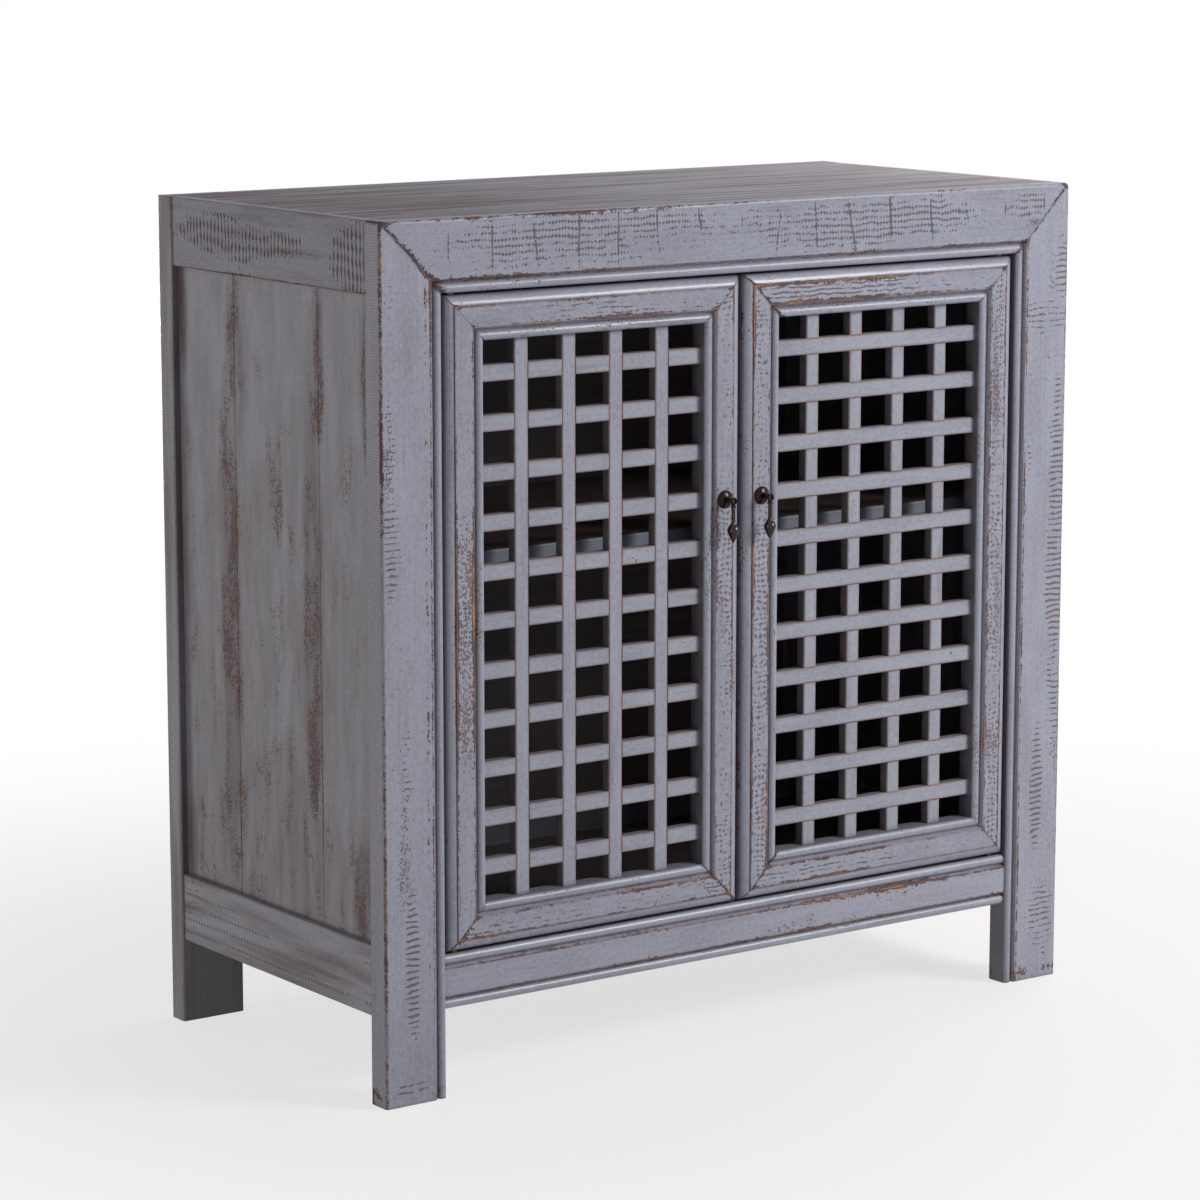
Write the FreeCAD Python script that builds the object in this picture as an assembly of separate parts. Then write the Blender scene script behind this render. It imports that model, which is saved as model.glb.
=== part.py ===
# Accent cabinet: a mitred and beaded front frame, panelled sides and two lattice doors on pivots.
# Millimetres. X runs to the right, Y to the back and Z up. The origin lies on the floor, at the
# middle of the box that holds the whole cabinet with its pulls.
import FreeCAD
import Part
import math
import os
from FreeCAD import Vector

# Carcase
WIDTH = 800.0
DEPTH = 382.0                 # front face of the front legs to the back face of the back legs
HEIGHT = 795.0

# Front frame: legs and top rail share one moulded section
FRAME_FACE = 66.0             # face width of a front leg and of the front top rail
FRAME_THICK = 24.0
FRAME_ROUND = 3.0             # worn-round outer edges of the frame
CORNER_ROUND = 5.0            # rounding of the two upper corners of the frame

# Moulding worked on the inner edges of the frame and the doors
BEAD_WIDTH = 9.0
BEAD_DROP = 0.8               # crown of the bead below the face
QUIRK_DEPTH = 4.0
QUIRK_FLAT = 0.8
SLOPE_RUN = 2.2               # bevel from the face down to the quirk

# Front bottom rail
FRONT_RAIL_HEIGHT = 50.0
FRONT_RAIL_SET = 4.0          # face of the rail behind the face of the legs
FLOOR_CLEARANCE = 81.0        # height of the rails above the floor

# Back legs, side and back rails
BACK_LEG_FACE = 66.0
BACK_LEG_THICK = 23.0
BACK_LEG_ROUND = 2.0
RAIL_HEIGHT = 65.0
SIDE_RAIL_THICK = 22.0
SIDE_RAIL_SET = 2.0           # side rails lie this far behind the legs' outer faces
ARRIS_EASE = 0.8              # bevel along the outer arrises of these rails and of the lattice bars

# Mortise and tenon joints
TENON_THICK = 8.0
TENON_SHOULDER = 12.0
FRONT_TENON_SET = 4.0         # front rail's tenon behind the face of that rail
TENON_TOP_GAP = 4.0           # upper tenons below the rebate of the top
RAIL_TENON_LENGTH = 25.0      # tenons that enter the edge of a leg
SIDE_TENON_LENGTH = 14.0      # tenons that enter the thickness of a leg
MORTISE_END_GAP = 1.0

# Panels
GROOVE_DEPTH = 8.0
SIDE_BOARD_THICK = 10.0
SIDE_BOARD_SET = 7.5          # outer face of the boards behind the legs' outer faces
SIDE_FRONT_BOARD = 90.0       # visible width of the board beside the front leg
SIDE_BACK_BOARD = 100.0       # visible width of the board beside the back leg
BOARD_VEE = 0.8               # bevel on each side of a board joint
BACK_PANEL_THICK = 6.0
BOTTOM_THICK = 12.0
BOTTOM_TONGUE = 6.0           # thickness of the tongue round the inside floor
BOTTOM_GROOVE_DEPTH = 6.0
BOTTOM_SET = 7.0              # inside floor below the top of the front bottom rail
TOP_THICK = 15.0
TOP_LEDGE = 10.0              # width of the rebate that carries the top boards
TOP_BOARDS = 3
PANEL_FIT = 0.2               # room left at the edges of a panel

# Shelf and its cleats
SHELF_TOP = 490.0
SHELF_THICK = 18.0
SHELF_FRONT = 40.0            # front edge of the shelf behind the front of the cabinet
SHELF_EDGE_ROUND = 2.0
SHELF_FIT = 0.5
CLEAT_WIDTH = 20.0
CLEAT_HEIGHT = 22.0
CLEAT_SCREWS = 3

# Doors
DOOR_SIDE_GAP = 2.5
DOOR_MEET_GAP = 3.0
DOOR_END_GAP = 2.2            # above and below a door
DOOR_SET = 0.5                # face of the doors behind the face of the frame
DOOR_FACE = 42.0              # width of stiles and rails
DOOR_THICK = 22.0
OVOLO_RADIUS = 10.0
OVOLO_STEP = 1.0

# Lattice
BAR_WIDTH = 15.0
BAR_THICK = 10.0
BAR_SET = 8.5                 # front of the bars behind the face of the door
BAR_HOUSING = 8.0             # depth of the housings that hold the bar ends
UPRIGHTS = 4
CROSSBARS = 11
CROSSBAR_END_GAP = 22.8       # hole between the last crossbar and a rail

# Loose keys glued across the mitres
FRAME_KEY = (30.0, 24.0, 8.0)     # along the mitre, across it, thick
FRAME_KEY_SHIFT = 5.0             # middle of the key inside the middle of the mitre
FRAME_KEY_SET = 10.0              # front of the key behind the face
DOOR_KEY = (18.0, 20.0, 5.0)
DOOR_KEY_BACK = 2.5               # wood left behind the key

# Pivots of the doors
PIVOT_INSET = 12.0            # pivot axis from the outer edge of the door
PIVOT_SET = 11.5              # pivot axis behind the face of the door
PIVOT_DIAMETER = 4.0
PIVOT_IN_DOOR = 24.0
PIVOT_IN_BUSH = 8.0
BUSH_DIAMETER = 6.0
BUSH_LENGTH = 12.0
BUSH_FLANGE = 8.0
BUSH_FLANGE_GAP = 0.2         # between the flange and the end of the door
RUNNING_FIT = 0.05            # radial room of a turning pin

# Magnetic catch for both doors
CATCH_BLOCK = (100.0, 30.0, 30.0)     # wide, deep, high
CATCH_HOUSING = (76.0, 20.0, 16.0)
CATCH_ROUND = 2.0
CATCH_DROP = 2.0              # top of the housing above the lower edge of the front top rail
STRIKE = (26.0, 1.5, 12.0)    # wide, thick, high
STRIKE_INSET = 8.0            # strike plate from the meeting edge of the door
STRIKE_TOP_GAP = 4.0          # strike plate below the top of the door
STRIKE_AIR = 0.3

# Screws: shank diameter, head diameter, head height, length under the head
CLEAT_SCREW = (3.5, 7.0, 2.0, 27.0)
CLEAT_SCREW_END = 45.0        # first and last cleat screws from the ends of the cleat
BLOCK_SCREW = (3.5, 7.0, 2.0, 42.0)
BLOCK_SCREW_SPACING = 50.0
CATCH_SCREW = (3.0, 6.0, 1.8, 26.0)
CATCH_SCREW_SPACING = 60.0
STRIKE_SCREW = (2.5, 4.5, 1.0, 10.0)
STRIKE_SCREW_SPACING = 14.0

# Drop pulls
PULL_HEIGHT = 520.0
ROSETTE_DIAMETER = 17.0
ROSETTE_RIM = 1.0
ROSETTE_HEIGHT = 4.2
POST_DIAMETER = 5.0
POST_NOSE = 4.0               # end of the post in front of the pendant's axis
POST_HEAD_DIAMETER = 7.0
POST_HEAD_LENGTH = 8.0
POST_BEHIND = 1.0             # end of the stud behind its nut
NUT_ACROSS_FLATS = 8.0
NUT_HEIGHT = 4.0
PULL_PIVOT_OUT = 13.0         # axis of the pendant in front of the door
PULL_PIN_DIAMETER = 1.6
PULL_PIN_INSET = 0.2          # ends of the pin below the surface of the post
TONGUE_THICK = 1.9
TONGUE_WIDTH = 4.0
TONGUE_SIDE_ROOM = 0.2
SLOT_ROOM = 1.2               # room behind the tongue in the slot of the post
SLOT_TOP_ROOM = 0.3           # room above the tongue
COLLAR_DIAMETER = 5.2
COLLAR_TOP = 5.0              # top of the collar below the pivot
COLLAR_HEIGHT = 1.6
NECK_DIAMETER = 3.6
NECK_LENGTH = 11.4
BULB_DIAMETER = 11.4
BULB_RISE = 10.2              # from the end of the neck down to the widest point
BULB_TAPER = 10.6             # from the widest point down to the tip
TAPER_BULGE = 0.4             # outward swell of the taper
TIP_DIAMETER = 1.6

# Places that several pieces share
POST_TIP = PULL_PIVOT_OUT + POST_NOSE
PULL_REACH = max(PULL_PIVOT_OUT + BULB_DIAMETER / 2, POST_TIP) - DOOR_SET
FRONT_Y = (PULL_REACH - DEPTH) / 2
SIDE_X = WIDTH / 2
OPENING_X = SIDE_X - FRAME_FACE
BACK_OPENING_X = SIDE_X - BACK_LEG_FACE
OPENING_TOP = HEIGHT - FRAME_FACE
RAIL_FOOT = FLOOR_CLEARANCE
FRONT_RAIL_TOP = RAIL_FOOT + FRONT_RAIL_HEIGHT
FRONT_RAIL_THICK = FRAME_THICK - FRONT_RAIL_SET
BACK_LEG_FRONT = DEPTH - BACK_LEG_THICK
SIDE_RAIL_OUT = SIDE_X - SIDE_RAIL_SET
SIDE_RAIL_IN = SIDE_RAIL_OUT - SIDE_RAIL_THICK
SIDE_BOARD_OUT = SIDE_X - SIDE_BOARD_SET
SIDE_BOARD_IN = SIDE_BOARD_OUT - SIDE_BOARD_THICK
LOW_RAIL_TOP = RAIL_FOOT + RAIL_HEIGHT
HIGH_RAIL_FOOT = HEIGHT - RAIL_HEIGHT
TOP_FOOT = HEIGHT - TOP_THICK
DOOR_LEFT = -OPENING_X + DOOR_SIDE_GAP
DOOR_RIGHT = -DOOR_MEET_GAP / 2
DOOR_FOOT = FRONT_RAIL_TOP + DOOR_END_GAP
DOOR_TOP = OPENING_TOP - DOOR_END_GAP
DOOR_BACK = DOOR_SET + DOOR_THICK
PIVOT_X = DOOR_LEFT + PIVOT_INSET
PIVOT_D = DOOR_SET + PIVOT_SET
BEAD_RUN = BEAD_WIDTH + QUIRK_FLAT + SLOPE_RUN
PULL_X = DOOR_RIGHT - (OVOLO_RADIUS + DOOR_FACE - BEAD_RUN) / 2


# Basic solids, placed by X, by depth behind the front of the cabinet and by height

def point(x, depth, z):
    return Vector(x, FRONT_Y + depth, z)


def block(x0, x1, d0, d1, z0, z1):
    return Part.makeBox(x1 - x0, d1 - d0, z1 - z0, point(x0, d0, z0))


def rod(start, end, diameter):
    """Round bar between two (x, depth, z) points."""
    axis = point(*end) - point(*start)
    return Part.makeCylinder(diameter / 2, axis.Length, point(*start), axis)


def prism(corners, run):
    """Closed polygon pushed along a vector."""
    return Part.Face(Part.makePolygon(corners + corners[:1])).extrude(run)


def outline(start, *moves):
    """Flat face from a start point and moves: a point ends a line, a pair is an arc's middle and end."""
    edges = []
    here = Vector(*start)
    for move in moves:
        if isinstance(move[0], tuple):
            end = Vector(*move[1])
            edges.append(Part.Arc(here, Vector(*move[0]), end).toShape())
        else:
            end = Vector(*move)
            edges.append(Part.LineSegment(here, end).toShape())
        here = end
    if here != Vector(*start):
        edges.append(Part.LineSegment(here, Vector(*start)).toShape())
    return Part.Face(Part.Wire(edges))


def mirrored(shape):
    return shape.mirror(Vector(), Vector(1, 0, 0))


def fuse(first, *others):
    return first.fuse(list(others)).removeSplitter()


def cut(shape, *tools):
    return shape.cut(list(tools))


# Mouldings: u runs over the face from the outer edge inwards, v goes back from the face

def bead_edge(edge):
    """Bevel, quirk and bead that bring a face to its edge at u = edge."""
    foot = edge - BEAD_WIDTH
    crown = (edge - BEAD_WIDTH / 2, BEAD_DROP)
    quirk = foot - QUIRK_FLAT
    return ((quirk - SLOPE_RUN, 0), (quirk, QUIRK_DEPTH), (foot, QUIRK_DEPTH), (crown, (edge, QUIRK_DEPTH)))


def frame_section():
    return outline((0, 0), *bead_edge(FRAME_FACE), (FRAME_FACE, FRAME_THICK), (0, FRAME_THICK))


def front_rail_section():
    crown = (BEAD_WIDTH / 2, BEAD_DROP)
    quirk = BEAD_WIDTH + QUIRK_FLAT
    first_bead = ((crown, (BEAD_WIDTH, QUIRK_DEPTH)), (quirk, QUIRK_DEPTH), (quirk + SLOPE_RUN, 0))
    back = ((FRONT_RAIL_HEIGHT, FRONT_RAIL_THICK), (0, FRONT_RAIL_THICK))
    return outline((0, QUIRK_DEPTH), *first_bead, *bead_edge(FRONT_RAIL_HEIGHT), *back)


def door_section():
    half = OVOLO_RADIUS * (1 - math.sqrt(0.5))
    ovolo = ((half, half + OVOLO_STEP), (OVOLO_RADIUS, OVOLO_STEP))
    back = ((DOOR_FACE, DOOR_THICK), (0, DOOR_THICK))
    return outline((0, OVOLO_RADIUS + OVOLO_STEP), ovolo, (OVOLO_RADIUS, 0), *bead_edge(DOOR_FACE), *back)


def moulding(section, x, depth, z, turn, length):
    """Section run from a corner: turn 0 runs up, 90 to the right, 180 down and 270 to the left."""
    placed = section.copy()
    placed.Placement = FreeCAD.Placement(point(x, depth, z), FreeCAD.Rotation(Vector(0, 1, 0), turn))
    run = placed.Placement.Rotation.multVec(Vector(0, 0, length))
    return placed.extrude(run)


def slab(corners, d0, d1):
    """Polygon of (x, z) corners from one depth to another."""
    return prism([point(x, d0, z) for x, z in corners], Vector(0, d1 - d0, 0))


def mitre_key(x, z, side, up, inset, key, d0):
    """Loose key across the mitre that starts at the outer corner x, z; side and up point inwards."""
    along, across, thick = key
    a = along / 2 * math.sqrt(0.5)
    b = across / 2 * math.sqrt(0.5)
    steps = ((-a - b, -a + b), (a - b, a + b), (a + b, a - b), (-a + b, -a - b))
    corners = [(x + side * (inset + s), z + up * (inset + t)) for s, t in steps]
    return slab(corners, d0, d0 + thick)


def screw(head, direction, sizes):
    """Pan-head screw: head is the seat point under the head, direction points into the wood."""
    shank, head_diameter, head_height, length = sizes
    way = Vector(*direction)
    seat = point(*head)
    shaft = Part.makeCylinder(shank / 2, length, seat, way)
    cap = Part.makeCylinder(head_diameter / 2, head_height, seat, way * -1)
    return fuse(shaft, cap)


# Joinery shared by the pieces on both sides of a joint

def front_rail_tenon(extra=0.0):
    """Left tenon of the front bottom rail; extra lengthens it into its mortise."""
    d0 = FRONT_RAIL_SET + FRONT_TENON_SET
    z0 = RAIL_FOOT + BEAD_WIDTH
    z1 = FRONT_RAIL_TOP - BEAD_WIDTH
    return block(-OPENING_X - RAIL_TENON_LENGTH - extra, -OPENING_X, d0, d0 + TENON_THICK, z0, z1)


def back_rail_tenon(foot, top, extra=0.0):
    d0 = DEPTH - (BACK_LEG_THICK + TENON_THICK) / 2
    x0 = -BACK_OPENING_X - RAIL_TENON_LENGTH - extra
    return block(x0, -BACK_OPENING_X, d0, d0 + TENON_THICK, foot, top)


def side_rail_tenons(foot, top, extra=0.0):
    x0 = -SIDE_RAIL_OUT + (SIDE_RAIL_THICK - TENON_THICK) / 2
    reach = SIDE_TENON_LENGTH + extra
    front = block(x0, x0 + TENON_THICK, FRAME_THICK - reach, FRAME_THICK, foot, top)
    back = block(x0, x0 + TENON_THICK, BACK_LEG_FRONT, BACK_LEG_FRONT + reach, foot, top)
    return front, back


HIGH_TENON = (HIGH_RAIL_FOOT + TENON_SHOULDER, TOP_FOOT - TENON_TOP_GAP)
LOW_TENON = (RAIL_FOOT + TENON_SHOULDER, LOW_RAIL_TOP - TENON_SHOULDER)


def side_groove():
    """Room of the left side boards in the rails and legs round them."""
    d0 = FRAME_THICK - GROOVE_DEPTH
    d1 = BACK_LEG_FRONT + GROOVE_DEPTH
    z0 = LOW_RAIL_TOP - GROOVE_DEPTH
    return block(-SIDE_BOARD_OUT, -SIDE_BOARD_IN, d0, d1, z0, HIGH_RAIL_FOOT + GROOVE_DEPTH)


def back_groove():
    d0 = DEPTH - (BACK_LEG_THICK + BACK_PANEL_THICK) / 2
    x = BACK_OPENING_X + GROOVE_DEPTH
    z0 = LOW_RAIL_TOP - GROOVE_DEPTH
    return block(-x, x, d0, d0 + BACK_PANEL_THICK, z0, HIGH_RAIL_FOOT + GROOVE_DEPTH)


FLOOR_TOP = FRONT_RAIL_TOP - BOTTOM_SET
FLOOR_FOOT = FLOOR_TOP - BOTTOM_THICK


def bottom_groove():
    """Room of the tongue of the inside floor, in the side rails and in the front and back rails."""
    span = (FLOOR_FOOT, FLOOR_FOOT + BOTTOM_TONGUE)
    x = SIDE_RAIL_IN + BOTTOM_GROOVE_DEPTH
    sides = block(-x, x, FRAME_THICK, BACK_LEG_FRONT, *span)
    front = block(-OPENING_X, OPENING_X, FRAME_THICK - BOTTOM_GROOVE_DEPTH, FRAME_THICK, *span)
    back_x = BACK_OPENING_X
    back_d = BACK_LEG_FRONT + BOTTOM_GROOVE_DEPTH
    back = block(-back_x, back_x, BACK_LEG_FRONT, back_d, *span)
    return fuse(sides, front, back)


def top_rebate():
    x = SIDE_RAIL_IN + TOP_LEDGE
    front = FRAME_THICK - TOP_LEDGE
    return block(-x, x, front, BACK_LEG_FRONT + TOP_LEDGE, TOP_FOOT, HEIGHT)


def frame_keys():
    inset = FRAME_FACE / 2 + FRAME_KEY_SHIFT
    left = mitre_key(-SIDE_X, HEIGHT, 1, -1, inset, FRAME_KEY, FRAME_KEY_SET)
    return left, mirrored(left)


def bush_hole(top):
    """Hole of a left door bush, in the top rail or in the bottom rail of the front frame."""
    face = OPENING_TOP if top else FRONT_RAIL_TOP
    depth = BUSH_LENGTH if top else -BUSH_LENGTH
    return rod((PIVOT_X, PIVOT_D, face), (PIVOT_X, PIVOT_D, face + depth), BUSH_DIAMETER)


# Front frame

def frame_envelope():
    """Plate with rounded upper corners and rounded outer edges that the frame members share."""
    lift = CORNER_ROUND * (1 - math.sqrt(0.5))
    left, right, top = -SIDE_X, SIDE_X, HEIGHT
    y = FRONT_Y
    plate = outline(
        (left, y, 0),
        (left, y, top - CORNER_ROUND),
        ((left + lift, y, top - lift), (left + CORNER_ROUND, y, top)),
        (right - CORNER_ROUND, y, top),
        ((right - lift, y, top - lift), (right, y, top - CORNER_ROUND)),
        (right, y, 0),
    ).extrude(Vector(0, FRAME_THICK, 0))
    front_edges = []
    for edge in plate.Edges:
        box = edge.BoundBox
        if box.YMax < y + FRAME_THICK / 2 and box.ZMax > 1:
            front_edges.append(edge)
    return plate.makeFillet(FRAME_ROUND, front_edges)


def front_left_leg():
    bar = moulding(frame_section(), -SIDE_X, 0, 0, 0, HEIGHT)
    shape = ((-SIDE_X, 0), (-SIDE_X, HEIGHT), (-OPENING_X, OPENING_TOP), (-OPENING_X, 0))
    leg = bar.common(slab(shape, 0, FRAME_THICK)).common(frame_envelope())
    high, _ = side_rail_tenons(*HIGH_TENON, MORTISE_END_GAP)
    low, _ = side_rail_tenons(*LOW_TENON, MORTISE_END_GAP)
    tenon = front_rail_tenon(MORTISE_END_GAP)
    return cut(leg, high, low, tenon, side_groove(), top_rebate(), *frame_keys())


def front_top_rail():
    bar = moulding(frame_section(), -SIDE_X, 0, HEIGHT, 90, WIDTH)
    shape = ((-SIDE_X, HEIGHT), (SIDE_X, HEIGHT), (OPENING_X, OPENING_TOP), (-OPENING_X, OPENING_TOP))
    rail = bar.common(slab(shape, 0, FRAME_THICK)).common(frame_envelope())
    bush = bush_hole(True)
    return cut(rail, top_rebate(), bush, mirrored(bush), *frame_keys(), *block_screws())


def front_bottom_rail():
    bar = moulding(front_rail_section(), OPENING_X, FRONT_RAIL_SET, RAIL_FOOT, 270, 2 * OPENING_X)
    tenon = front_rail_tenon()
    bush = bush_hole(False)
    return cut(fuse(bar, tenon, mirrored(tenon)), bottom_groove(), bush, mirrored(bush))


# Back and side frames

def back_left_leg():
    lift = BACK_LEG_ROUND * (1 - math.sqrt(0.5))
    x0, x1 = -SIDE_X, -BACK_OPENING_X
    y0, y1 = FRONT_Y + BACK_LEG_FRONT, FRONT_Y + DEPTH
    section = outline(
        (x0 + BACK_LEG_ROUND, y0),
        (x1, y0),
        (x1, y1),
        (x0 + BACK_LEG_ROUND, y1),
        ((x0 + lift, y1 - lift), (x0, y1 - BACK_LEG_ROUND)),
        (x0, y0 + BACK_LEG_ROUND),
        ((x0 + lift, y0 + lift), (x0 + BACK_LEG_ROUND, y0)),
    )
    leg = section.extrude(Vector(0, 0, HEIGHT))
    _, high = side_rail_tenons(*HIGH_TENON, MORTISE_END_GAP)
    _, low = side_rail_tenons(*LOW_TENON, MORTISE_END_GAP)
    high_back = back_rail_tenon(*HIGH_TENON, MORTISE_END_GAP)
    low_back = back_rail_tenon(*LOW_TENON, MORTISE_END_GAP)
    return cut(leg, high, low, high_back, low_back, side_groove(), back_groove(), top_rebate())


def eased_section(face, back, low, high):
    """Rectangle of (through, along) points whose two arrises on the face are eased."""
    eased = face + math.copysign(ARRIS_EASE, back - face)
    front = ((eased, low), (face, low + ARRIS_EASE), (face, high - ARRIS_EASE), (eased, high))
    return ((back, low), *front, (back, high))


def back_rail(foot, tenon_span):
    x = BACK_OPENING_X
    section = eased_section(DEPTH, BACK_LEG_FRONT, foot, foot + RAIL_HEIGHT)
    bar = prism([point(-x, d, z) for d, z in section], Vector(2 * x, 0, 0))
    tenon = back_rail_tenon(*tenon_span)
    return cut(fuse(bar, tenon, mirrored(tenon)), back_groove(), bottom_groove(), top_rebate())


def left_side_rail(foot, tenon_span):
    section = eased_section(-SIDE_RAIL_OUT, -SIDE_RAIL_IN, foot, foot + RAIL_HEIGHT)
    run = Vector(0, BACK_LEG_FRONT - FRAME_THICK, 0)
    bar = prism([point(x, FRAME_THICK, z) for x, z in section], run)
    return cut(fuse(bar, *side_rail_tenons(*tenon_span)), side_groove(), bottom_groove(), top_rebate())


def left_side_boards():
    """Three upright boards, edge to edge, with a small vee at each joint."""
    front = FRAME_THICK - GROOVE_DEPTH + PANEL_FIT
    back = BACK_LEG_FRONT + GROOVE_DEPTH - PANEL_FIT
    joints = (front, FRAME_THICK + SIDE_FRONT_BOARD, BACK_LEG_FRONT - SIDE_BACK_BOARD, back)
    z0 = LOW_RAIL_TOP - GROOVE_DEPTH
    tall = HIGH_RAIL_FOOT + GROOVE_DEPTH - PANEL_FIT - z0
    outer, inner, vee = -SIDE_BOARD_OUT, -SIDE_BOARD_IN, BOARD_VEE
    boards = []
    for d0, d1 in zip(joints, joints[1:]):
        face = ((outer + vee, d0), (outer, d0 + vee), (outer, d1 - vee), (outer + vee, d1))
        plan = (*face, (inner, d1), (inner, d0))
        boards.append(prism([point(x, d, z0) for x, d in plan], Vector(0, 0, tall)))
    return [cut(board, *cleat_screws()) for board in boards]


def back_panel():
    room = back_groove().BoundBox
    size = (room.XLength - 2 * PANEL_FIT, room.YLength, room.ZLength - PANEL_FIT)
    return Part.makeBox(*size, Vector(room.XMin + PANEL_FIT, room.YMin, room.ZMin))


def bottom_panel():
    """Inside floor: its upper face ends at the rails, and a tongue below it runs on into their grooves."""
    x = SIDE_RAIL_IN - PANEL_FIT
    field = block(-x, x, FRAME_THICK + PANEL_FIT, BACK_LEG_FRONT - PANEL_FIT, FLOOR_FOOT, FLOOR_TOP)
    return fuse(field, bottom_groove())


def top_boards():
    """Boards that run along the width, laid in the rebate with a small vee at each joint."""
    room = top_rebate().BoundBox
    y0, y1 = room.YMin + PANEL_FIT, room.YMax - PANEL_FIT
    x0 = room.XMin + PANEL_FIT
    run = Vector(room.XLength - 2 * PANEL_FIT, 0, 0)
    z0, z1, vee = TOP_FOOT, HEIGHT, BOARD_VEE
    wide = (y1 - y0) / TOP_BOARDS
    boards = []
    for number in range(TOP_BOARDS):
        a = y0 + number * wide
        b = a + wide
        end = ((a, z0), (b, z0), (b, z1 - vee), (b - vee, z1), (a + vee, z1), (a, z1 - vee))
        boards.append(prism([Vector(x0, y, z) for y, z in end], run))
    return boards


# Shelf

def left_shelf_cleat():
    top = SHELF_TOP - SHELF_THICK
    x0 = -SIDE_BOARD_IN
    bar = block(x0, x0 + CLEAT_WIDTH, FRAME_THICK, BACK_LEG_FRONT, top - CLEAT_HEIGHT, top)
    return cut(bar, *cleat_screws())


def cleat_screws():
    """Screws of the left cleat, driven outwards into the side boards."""
    x = -SIDE_BOARD_IN + CLEAT_WIDTH
    z = SHELF_TOP - SHELF_THICK - CLEAT_HEIGHT / 2
    first = FRAME_THICK + CLEAT_SCREW_END
    step = (BACK_LEG_FRONT - CLEAT_SCREW_END - first) / (CLEAT_SCREWS - 1)
    return [screw((x, first + n * step, z), (-1, 0, 0), CLEAT_SCREW) for n in range(CLEAT_SCREWS)]


def shelf():
    """Loose board on the cleats, with an eased front edge."""
    y0, y1 = FRONT_Y + SHELF_FRONT, FRONT_Y + BACK_LEG_FRONT - SHELF_FIT
    z0, z1, ease = SHELF_TOP - SHELF_THICK, SHELF_TOP, SHELF_EDGE_ROUND
    x0 = -SIDE_BOARD_IN + SHELF_FIT
    lift = ease * (1 - math.sqrt(0.5))
    end = outline(
        (x0, y0 + ease, z0),
        (x0, y1, z0),
        (x0, y1, z1),
        (x0, y0 + ease, z1),
        ((x0, y0 + lift, z1 - lift), (x0, y0, z1 - ease)),
        (x0, y0, z0 + ease),
        ((x0, y0 + lift, z0 + lift), (x0, y0 + ease, z0)),
    )
    return end.extrude(Vector(-2 * x0, 0, 0))


# Catch behind the front top rail

CATCH_TOP = OPENING_TOP + CATCH_DROP
CATCH_FRONT = DOOR_BACK + STRIKE[1] + STRIKE_AIR
BLOCK_SCREW_Z = CATCH_TOP + CATCH_BLOCK[2] / 2


def block_screws():
    deep = CATCH_BLOCK[1]
    places = (-BLOCK_SCREW_SPACING / 2, BLOCK_SCREW_SPACING / 2)
    return [screw((x, FRAME_THICK + deep, BLOCK_SCREW_Z), (0, -1, 0), BLOCK_SCREW) for x in places]


def catch_screws():
    middle = CATCH_FRONT + CATCH_HOUSING[1] / 2
    z = CATCH_TOP - CATCH_HOUSING[2]
    places = (-CATCH_SCREW_SPACING / 2, CATCH_SCREW_SPACING / 2)
    return [screw((x, middle, z), (0, 0, 1), CATCH_SCREW) for x in places]


def catch_block():
    wide, deep, high = CATCH_BLOCK
    body = block(-wide / 2, wide / 2, FRAME_THICK, FRAME_THICK + deep, CATCH_TOP, CATCH_TOP + high)
    return cut(body, *block_screws(), *catch_screws())


def magnetic_catch():
    wide, deep, high = CATCH_HOUSING
    body = block(-wide / 2, wide / 2, CATCH_FRONT, CATCH_FRONT + deep, CATCH_TOP - high, CATCH_TOP)
    upright = [edge for edge in body.Edges if edge.BoundBox.ZLength > high / 2]
    return cut(body.makeFillet(CATCH_ROUND, upright), *catch_screws())


# Pivots

def door_pivot_pins():
    ends = ((DOOR_FOOT, -1), (DOOR_TOP, 1))
    reach = DOOR_END_GAP + PIVOT_IN_BUSH
    pins = []
    for z, way in ends:
        start = (PIVOT_X, PIVOT_D, z - way * PIVOT_IN_DOOR)
        pins.append(rod(start, (PIVOT_X, PIVOT_D, z + way * reach), PIVOT_DIAMETER))
    return pins


def left_pivot_bushes():
    """Flanged bushes let into the frame above and below the door; the lower flange carries the door."""
    flange = DOOR_END_GAP - BUSH_FLANGE_GAP
    bore = PIVOT_DIAMETER + 2 * RUNNING_FIT
    bushes = []
    for face, way in ((FRONT_RAIL_TOP, 1), (OPENING_TOP, -1)):
        inner = (PIVOT_X, PIVOT_D, face - way * BUSH_LENGTH)
        outer = (PIVOT_X, PIVOT_D, face + way * flange)
        seat = (PIVOT_X, PIVOT_D, face)
        body = fuse(rod(inner, seat, BUSH_DIAMETER), rod(seat, outer, BUSH_FLANGE))
        bushes.append(cut(body, rod(inner, outer, bore)))
    return bushes


# Doors

def upright_places():
    """Left edges of the lattice uprights, with equal holes between them."""
    left = DOOR_LEFT + DOOR_FACE
    hole = (DOOR_RIGHT - DOOR_FACE - left - UPRIGHTS * BAR_WIDTH) / (UPRIGHTS + 1)
    return [left + hole + number * (hole + BAR_WIDTH) for number in range(UPRIGHTS)]


def crossbar_places():
    """Lower edges of the crossbars, with the two end holes lower than the rest."""
    foot = DOOR_FOOT + DOOR_FACE + CROSSBAR_END_GAP
    last = DOOR_TOP - DOOR_FACE - CROSSBAR_END_GAP - BAR_WIDTH
    pitch = (last - foot) / (CROSSBARS - 1)
    return [foot + number * pitch for number in range(CROSSBARS)]


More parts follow.
